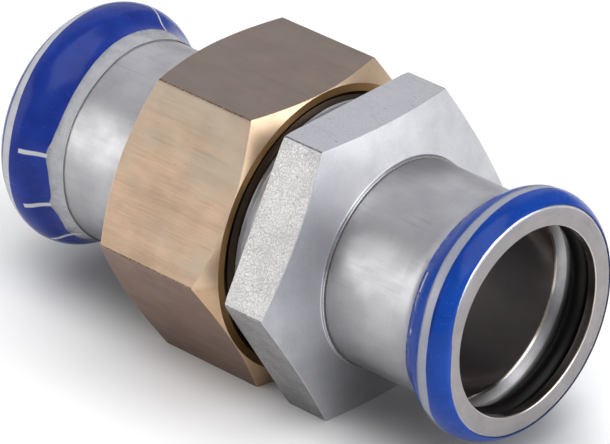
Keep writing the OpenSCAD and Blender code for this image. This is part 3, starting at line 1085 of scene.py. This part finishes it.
@dataclass(frozen=True)
class SocketEnd:
    """A formed press socket with its seal ring and film, at the front or the rear end.

    Its mouth plane is at mouth_x and faces +X where facing is 1, and -X where it is -1. The film's
    pleats rise from pleat_start behind the mouth, and its end strays by the two ragged amounts.
    """

    name: str
    mouth_x: float
    facing: int
    weld_x: float
    body: Body
    pattern: Print
    seed: int
    mouth_rounding: float = 0.25
    stop_gap: float = 0.3
    edge_depth: float = 1.2
    groove_shade_r: float = 15.3
    ring_r: float = 1.6
    ring_middle: Point = (-FIT.bead_setback - 0.3, 15.63)
    film_thick: float = 0.1
    film_hole_r: float = 15.95
    film_reach: float = 11.5
    lap_angle: float = 135.0
    lap_width: float = 6.0
    lap_height: float = 0.03
    pleat_start: float = 6.5
    pleat_run: float = 5.0
    pleat_height: float = 0.035
    ragged: tuple[float, float] = (0.12, 0.1)
    cut_span: tuple[float, float] = (-35.0, 0.0)

    def _placed(self, points: Sequence[Point]) -> list[Point]:
        """Puts a section that is drawn with its mouth at x = 0 and opening to +X in its place."""
        return [(self.mouth_x + self.facing * x, r) for x, r in points]

    def _face(self, face: Face) -> SocketFace:
        """The slot of a face of the socket."""
        depth = abs(face.center.x / MM - self.mouth_x)
        tilt = face.normal.x * self.facing
        # The mouth's rounded edges take the burnished finish with its painted highlight.
        if depth < self.edge_depth and tilt > 0.2 and not (is_bore(face) and tilt < 0.9):
            return SocketFace.MOUTH if tilt > 0.97 else SocketFace.EDGE
        if is_bore(face):
            return SocketFace.DRAWN
        # Inward faces of the groove beyond groove_shade_r take the painted shade.
        inwards = face.center.y * face.normal.y + face.center.z * face.normal.z < 0
        shaded = inwards and radius_of(face) > self.groove_shade_r
        return SocketFace.GROOVE if shaded else SocketFace.FORMED

    def _film_face(self, face: Face) -> FilmFace:
        """The slot of a face of the film. Only the rear film's end faces the camera and shows its cut."""
        low, high = self.cut_span
        is_cut = face.normal.x > 0.7 and low < face.center.x / MM < high
        return FilmFace.CUT if is_cut else FilmFace.PRINTED

    def socket(self, effects: Effects, finishes: Finishes) -> bpy.types.Object:
        """Builds the formed tube end."""
        length, stop_x = abs(self.mouth_x - self.weld_x), self.stop_gap - FIT.insert
        outer, groove = TUBE_FORM.line(40), GROOVE_FORM.line(32, FIT.bore_r)
        corners: list[Corner] = [(0, FIT.bore_r, self.mouth_rounding)]
        corners += [(x, r, 0) for x, r in outer]
        corners += [(-length, FIT.neck_r, 0.12), (-length, FIT.seat_r, 0.1),
                    (stop_x, FIT.seat_r, 0), (stop_x, FIT.bore_r, 0.1)]
        corners += [(x, r, 0) for x, r in reversed(groove)]
        corners += [(GROOVE_FORM.face, FIT.bore_r, 0.15)]
        section = self._placed(rounded(corners))
        bm = spin_section(lambda _: section, even_angles())
        piece = finish_mesh(self.name + "_socket", bm, self.body,
                            [self.name + "_press_socket"])
        paint(piece, effects, (finishes.socket, finishes.bore, finishes.mouth, finishes.edge,
                               finishes.groove), self._face)
        return piece

    def seal_ring(self, effects: Effects, finishes: Finishes) -> bpy.types.Object:
        """Builds the seal ring that lies in the bead's groove."""
        section = self._placed(arc(self.ring_middle, self.ring_r, 0, 360, 48)[:-1])
        bm = spin_section(lambda _: section, even_angles())
        piece = finish_mesh(self.name + "_seal_ring", bm, self.body,
                            [self.name + "_o_ring"])
        paint(piece, effects, (finishes.rubber,))
        return piece

    def film(self, effects: Effects, finishes: Finishes) -> bpy.types.Object:
        """Builds the shrunk film, thinner than its CAD stand-in so that its pleats stay inside it."""
        lines = []
        for form, face_x in ((FILM_FORM, FILM_FORM.face),
                             (FILM_FORM.grown(self.film_thick), FILM_FORM.face + self.film_thick)):
            line = form.line(48)
            lines.append([(face_x, self.film_hole_r), *line, (-self.film_reach, line[-1][1])])
        inner_line, outer_line = lines
        waves = random.Random(self.seed)
        pleats = [(waves.uniform(0, 360), waves.choice((7, 11, 17, 23))) for _ in range(5)]

        def section_at(angle: float) -> list[Point]:
            """The film's section at an angle: inner line out, outer line back."""
            wave = sum(math.sin(math.radians(angle * n + phase)) for phase, n in pleats) / len(pleats)
            slow, fine = self.ragged
            ragged = slow * math.sin(math.radians(3 * angle + pleats[0][0])) + fine * wave
            off_lap = abs((angle - self.lap_angle + 180) % 360 - 180)
            lap = self.lap_height * max(0.0, 1 - off_lap / self.lap_width)

            def moved(point: Point, rise: float) -> Point:
                """A point of the film's line with its pleat and its ragged edge."""
                behind = max(0.0, (-point[0] - self.pleat_start) / self.pleat_run)
                lift = max(self.pleat_height * (wave + 1) * behind + rise, 0.0)
                return point[0] + abs(ragged) * behind * 0.9, point[1] + lift

            return self._placed([moved(p, -0.01) for p in inner_line]
                                + [moved(p, lap if p[0] < -1 else 0.0) for p in reversed(outer_line)])

        bm = spin_section(section_at, even_angles())
        piece = finish_mesh(self.name + "_film", bm, self.body,
                            [self.name + "_indicator_film"])
        finish = FilmFinish(self.name + "_printed_film", self.pattern, self.mouth_x, self.facing)
        paint(piece, effects, (finish, finishes.film_cut), self._film_face)
        return piece

    def build(self, effects: Effects, finishes: Finishes) -> list[bpy.types.Object]:
        """Builds the three pieces of this end."""
        return [self.socket(effects, finishes), self.seal_ring(effects, finishes),
                self.film(effects, finishes)]


@dataclass(frozen=True)
class UnionNut:
    """The hexagon nut with its helical thread."""

    chamfer: float = 29.0
    edge_gap: float = 0.06
    bevel: float = 0.5
    crest_r: float = 19.19
    root_r: float = 20.02
    crest_w: float = FIT.pitch / 4
    runout: float = 3.0

    def _section_at(self, angle: float) -> list[Point]:
        """The nut's section at an angle, from the mouth's land round to the thread's runout."""
        side = HEXAGON.radius(angle)
        land = FIT.flat_r - self.edge_gap
        drop = cone_drop(side - land, self.chamfer)
        return rounded([
            (FIT.nut_front_x, FIT.mouth_r + 0.08, 0), (FIT.nut_front_x, land, 0.06),
            (FIT.nut_front_x - drop, side, 0.12), (FIT.nut_back_x + drop, side, 0.12),
            (FIT.nut_back_x, land, 0.06), (FIT.nut_back_x, FIT.lip_r + self.bevel, 0.1),
            (FIT.nut_back_x + self.bevel, FIT.lip_r, 0.1), (FIT.collar_back_x, FIT.lip_r, 0.1),
            (FIT.collar_back_x, FIT.runout_r, 0.3),
            (FIT.collar_back_x + self.runout - 0.1, FIT.runout_r, 0)],
            closed=False)

    def build(self, effects: Effects, finishes: Finishes) -> bpy.types.Object:
        """Builds the nut."""
        end = FIT.collar_back_x + self.runout
        thread = Thread(self.crest_r, self.root_r, self.crest_w, end, FIT.nut_front_x, FIT.pitch / 2)

        def limit(x: float, r: float) -> float:
            """Opens the thread out to the mouth's chamfer and to the runout."""
            return max(r, FIT.mouth_r - (FIT.nut_front_x - x), FIT.runout_r - (x - end))

        bm = thread.wind(limit)
        absorb(bm, spin_section(self._section_at, HEXAGON.angles(), closed=False))
        bridge_open_loops(bm, (FIT.nut_front_x, end))
        piece = finish_mesh("nut_hexagon", bm, Body.NUT, ["union_nut"])
        paint(piece, effects, (finishes.nut_flats, finishes.nut_turned, finishes.nut_inside,
                               finishes.nut_corners), nut_face)
        return piece


@dataclass(frozen=True)
class ThreadedBody:
    """The steel hexagon with its male thread, relief, weld rim and spigot."""

    cone: float = 15.4
    deburr: float = 0.3
    crest_r: float = 19.95
    root_r: float = 19.13
    crest_w: float = FIT.pitch / 8
    start_r: float = 18.8
    seat_r: float = 18.6

    def _section_at(self, angle: float) -> list[Point]:
        """The body's section at an angle, from the thread's end round to its seat."""
        side = HEXAGON.radius(angle)
        broken = max(0.08, side - (FIT.corner_r - self.deburr))
        cone_x = FIT.rim_x - cone_drop(side - FIT.rim_r, self.cone)
        return rounded([
            (FIT.thread_end_x + 0.06, FIT.relief_r, 0), (FIT.hex_x, FIT.relief_r, 0.35),
            (FIT.hex_x, side - broken, 0.03), (FIT.hex_x + broken, side, 0.05),
            (cone_x, side, 0.12), (FIT.rim_x, FIT.rim_r, 0.15),
            (FIT.front_weld_x, FIT.rim_r, 0.3), (FIT.front_weld_x, FIT.neck_r, 0),
            (FIT.front_weld_x, FIT.spigot_r, 0.05), (FIT.front_stop_x, FIT.spigot_r, 0.1),
            (FIT.front_stop_x, FIT.way_r, 0.25), (FIT.seat_x, FIT.way_r, 0.25),
            (FIT.seat_x, self.seat_r, 0)], closed=False)

    def build(self, effects: Effects, finishes: Finishes) -> bpy.types.Object:
        """Builds the body."""
        thread = Thread(self.crest_r, self.root_r, self.crest_w, FIT.seat_x, FIT.thread_end_x)

        def limit(x: float, r: float) -> float:
            """Brings the thread down to the chamfers at both ends."""
            return min(r, self.start_r + max(0.0, x - FIT.seat_x),
                       FIT.relief_r + max(0.0, FIT.thread_end_x - x) * 2.2)

        bm = thread.wind(limit)
        absorb(bm, spin_section(self._section_at, HEXAGON.angles(), closed=False))
        bridge_open_loops(bm, (FIT.seat_x, FIT.thread_end_x))
        piece = finish_mesh("body_hexagon", bm, Body.BODY_SIDE, ["threaded_body"])
        paint(piece, effects, (finishes.body_flats, finishes.body_turned, finishes.thread,
                               finishes.body_corners, finishes.edge), body_face)
        return piece


@dataclass(frozen=True)
class Seat:
    """The turned tail collar and the flat gasket between it and the body."""

    gasket_hole_r: float = 13.1
    bevel: float = 0.5

    def collar(self, effects: Effects, finishes: Finishes) -> bpy.types.Object:
        """Builds the collar with its neck stub and spigot."""
        section = rounded([
            (FIT.collar_front_x, FIT.way_r, 0.25), (FIT.collar_front_x, FIT.collar_r - self.bevel, 0.1),
            (FIT.collar_front_x - self.bevel, FIT.collar_r, 0.1), (FIT.collar_back_x, FIT.collar_r, 0.15),
            (FIT.collar_back_x, FIT.neck_r, 0.2), (FIT.rear_weld_x, FIT.neck_r, 0.1),
            (FIT.rear_weld_x, FIT.spigot_r, 0.05), (FIT.rear_stop_x, FIT.spigot_r, 0.1),
            (FIT.rear_stop_x, FIT.way_r, 0.25)])
        bm = spin_section(lambda _: section, even_angles())
        piece = finish_mesh("collar", bm, Body.TAIL_SIDE, ["tail_collar"])
        paint(piece, effects, (finishes.body_turned,))
        return piece

    def gasket(self, effects: Effects, finishes: Finishes) -> bpy.types.Object:
        """Builds the flat gasket."""
        front, back = FIT.seat_x, FIT.collar_front_x
        section = rounded([(front, self.gasket_hole_r, 0.1), (front, FIT.collar_r, 0.15),
                           (back, FIT.collar_r, 0.15), (back, self.gasket_hole_r, 0.1)])
        bm = spin_section(lambda _: section, even_angles())
        piece = finish_mesh("seat_gasket", bm, Body.BODY_SIDE, ["flat_gasket"])
        paint(piece, effects, (finishes.fibre,))
        return piece


@dataclass(frozen=True)
class Lamp:
    """A soft rectangular studio light that faces the object."""

    name: str
    towards: tuple[float, float, float]
    distance: float
    size: tuple[float, float]
    radiance: float
    colour: Colour = (1.0, 1.0, 1.0)

    def build(self) -> None:
        """Adds the light."""
        light = bpy.data.lights.new(self.name, "AREA")
        light.shape = "RECTANGLE"
        light.size, light.size_y = self.size
        light.energy = self.radiance * math.pi * self.size[0] * self.size[1]
        light.color = self.colour
        lamp = bpy.data.objects.new(self.name, light)
        direction = Vector(self.towards).normalized()
        lamp.location = direction * self.distance
        lamp.rotation_mode = "QUATERNION"
        lamp.rotation_quaternion = direction.to_track_quat("Z", "Y")
        bpy.context.scene.collection.objects.link(lamp)


@dataclass(frozen=True)
class Studio:
    """The pale floor with a painted shadow round the fitting, the soft lights and the surroundings."""

    horizon: Colour = (0.22, 0.22, 0.225)
    shoulder: Colour = (0.37, 0.37, 0.375)
    zenith: Colour = (0.27, 0.27, 0.275)
    floor: Colour = (0.88, 0.88, 0.88)
    shade: Colour = (0.44, 0.44, 0.44)
    glow: float = 0.12
    lamps: Sequence[Lamp] = (
        Lamp("key", (-0.60, -0.76, 0.30), 0.9, (0.75, 0.66), 1.95),
        Lamp("right_far", (0.87, 0.40, 0.25), 0.8, (0.50, 0.70), 3.0),
        Lamp("right_near", (0.99, -0.07, 0.20), 0.8, (0.28, 0.45), 3.0),
        Lamp("back", (-0.60, 0.36, 0.55), 0.9, (1.6, 1.1), 0.68, (0.95, 0.97, 1.04)),
        Lamp("top", (0.45, -0.12, 0.9), 0.6, (0.6, 0.6), 2.5),
    )

    def build(self) -> None:
        """Adds the floor, the lights and the world."""
        bm = bmesh.new()
        bmesh.ops.create_grid(bm, x_segments=1, y_segments=1, size=3.0)
        bmesh.ops.translate(bm, verts=bm.verts, vec=(0, 0, -(FIT.flat_r + 0.01) * MM))
        mesh = bpy.data.meshes.new("floor")
        bm.to_mesh(mesh)
        bm.free()
        floor = bpy.data.objects.new("floor", mesh)
        bpy.context.scene.collection.objects.link(floor)
        material, bench, shader = new_material("pale_floor")
        vector = bench.add("TexCoord").outputs["Object"]
        axes = bench.add("SeparateXYZ", {0: vector})
        # Painted shadow: near the fitting the floor takes the shade colour and loses its glow.
        past_end = bench.math("MAXIMUM", bench.math("SUBTRACT", bench.math(
            "ABSOLUTE", axes.outputs["X"]), 0.036), 0.0)
        away = bench.length(past_end, axes.outputs["Y"])
        open_floor = bench.ramp(away, 0.006, 0.021)
        bench.tree.links.new(bench.mix(open_floor, self.shade, self.floor), shader.inputs["Base Color"])
        bench.tree.links.new(bench.mix(open_floor, (0.0, 0.0, 0.0), (self.glow,) * 3),
                             shader.inputs["Emission Color"])
        shader.inputs["Roughness"].default_value = 0.9
        shader.inputs["Specular IOR Level"].default_value = 0.0
        shader.inputs["Emission Strength"].default_value = 1.0
        floor.data.materials.append(material)
        for lamp in self.lamps:
            lamp.build()
        world = bpy.data.worlds.new("studio")
        world.use_nodes = True
        sky = NodeBench(world.node_tree)
        height = sky.add("SeparateXYZ", {0: sky.add("TexCoord").outputs["Generated"]}).outputs["Z"]
        rising = sky.mix(sky.ramp(height, 0.0, 0.6), self.horizon, self.shoulder)
        world.node_tree.links.new(sky.mix(sky.ramp(height, 0.52, 0.8), rising, self.zenith),
                                  world.node_tree.nodes["Background"].inputs["Color"])
        bpy.context.scene.world = world
        bpy.context.scene.view_settings.view_transform = "Standard"


@dataclass(frozen=True)
class PhotoCamera:
    """The camera that took the photo. Angles are degrees, lengths millimetres."""

    azimuth: float = 44.15
    elevation: float = 29.98
    roll: float = -0.90
    right_shift: float = -1.58
    up_shift: float = 0.15
    distance: float = 773.1
    target_x: float = 3.1804
    lens: float = 319.28

    def build(self) -> None:
        """Adds the camera and makes it the scene's own."""
        az, el, roll = (math.radians(v) for v in (self.azimuth, self.elevation, self.roll))
        back = Vector((math.sin(az) * math.cos(el), -math.cos(az) * math.cos(el), math.sin(el)))
        right = Vector((math.cos(az), math.sin(az), 0))
        up = back.cross(right)
        right, up = (math.cos(roll) * right + math.sin(roll) * up,
                     math.cos(roll) * up - math.sin(roll) * right)
        data = bpy.data.cameras.new("photo_camera")
        data.lens = self.lens
        data.sensor_width = 36
        data.sensor_fit = "HORIZONTAL"
        data.clip_start, data.clip_end = 0.05, 20
        camera = bpy.data.objects.new("photo_camera", data)
        place = (right * self.right_shift + up * self.up_shift + back * self.distance
                 + Vector((self.target_x, 0, 0))) * MM
        turn = Matrix((right, up, back)).transposed().to_4x4()
        camera.matrix_world = Matrix.Translation(place) @ turn
        bpy.context.scene.collection.objects.link(camera)
        bpy.context.scene.camera = camera


def main() -> None:
    """Builds the fitting, the studio and the camera."""
    logging.basicConfig(level=logging.INFO, format="%(message)s")
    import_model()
    effects, finishes = Effects(), Finishes()
    front_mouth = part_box("front_press_socket")[1].x / MM
    rear_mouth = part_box("rear_press_socket")[0].x / MM
    front = SocketEnd("front", front_mouth, 1, FIT.front_weld_x, Body.BODY_SIDE, FRONT_PRINT, 3)
    rear = SocketEnd("rear", rear_mouth, -1, FIT.rear_weld_x, Body.TAIL_SIDE, REAR_PRINT, 8)
    pieces = [UnionNut().build(effects, finishes), ThreadedBody().build(effects, finishes)]
    pieces += front.build(effects, finishes)
    pieces += [Seat().gasket(effects, finishes), Seat().collar(effects, finishes)]
    pieces += rear.build(effects, finishes)
    for piece in pieces:
        report(piece)
    Studio().build()
    PhotoCamera().build()


if __name__ == "__main__":
    main()
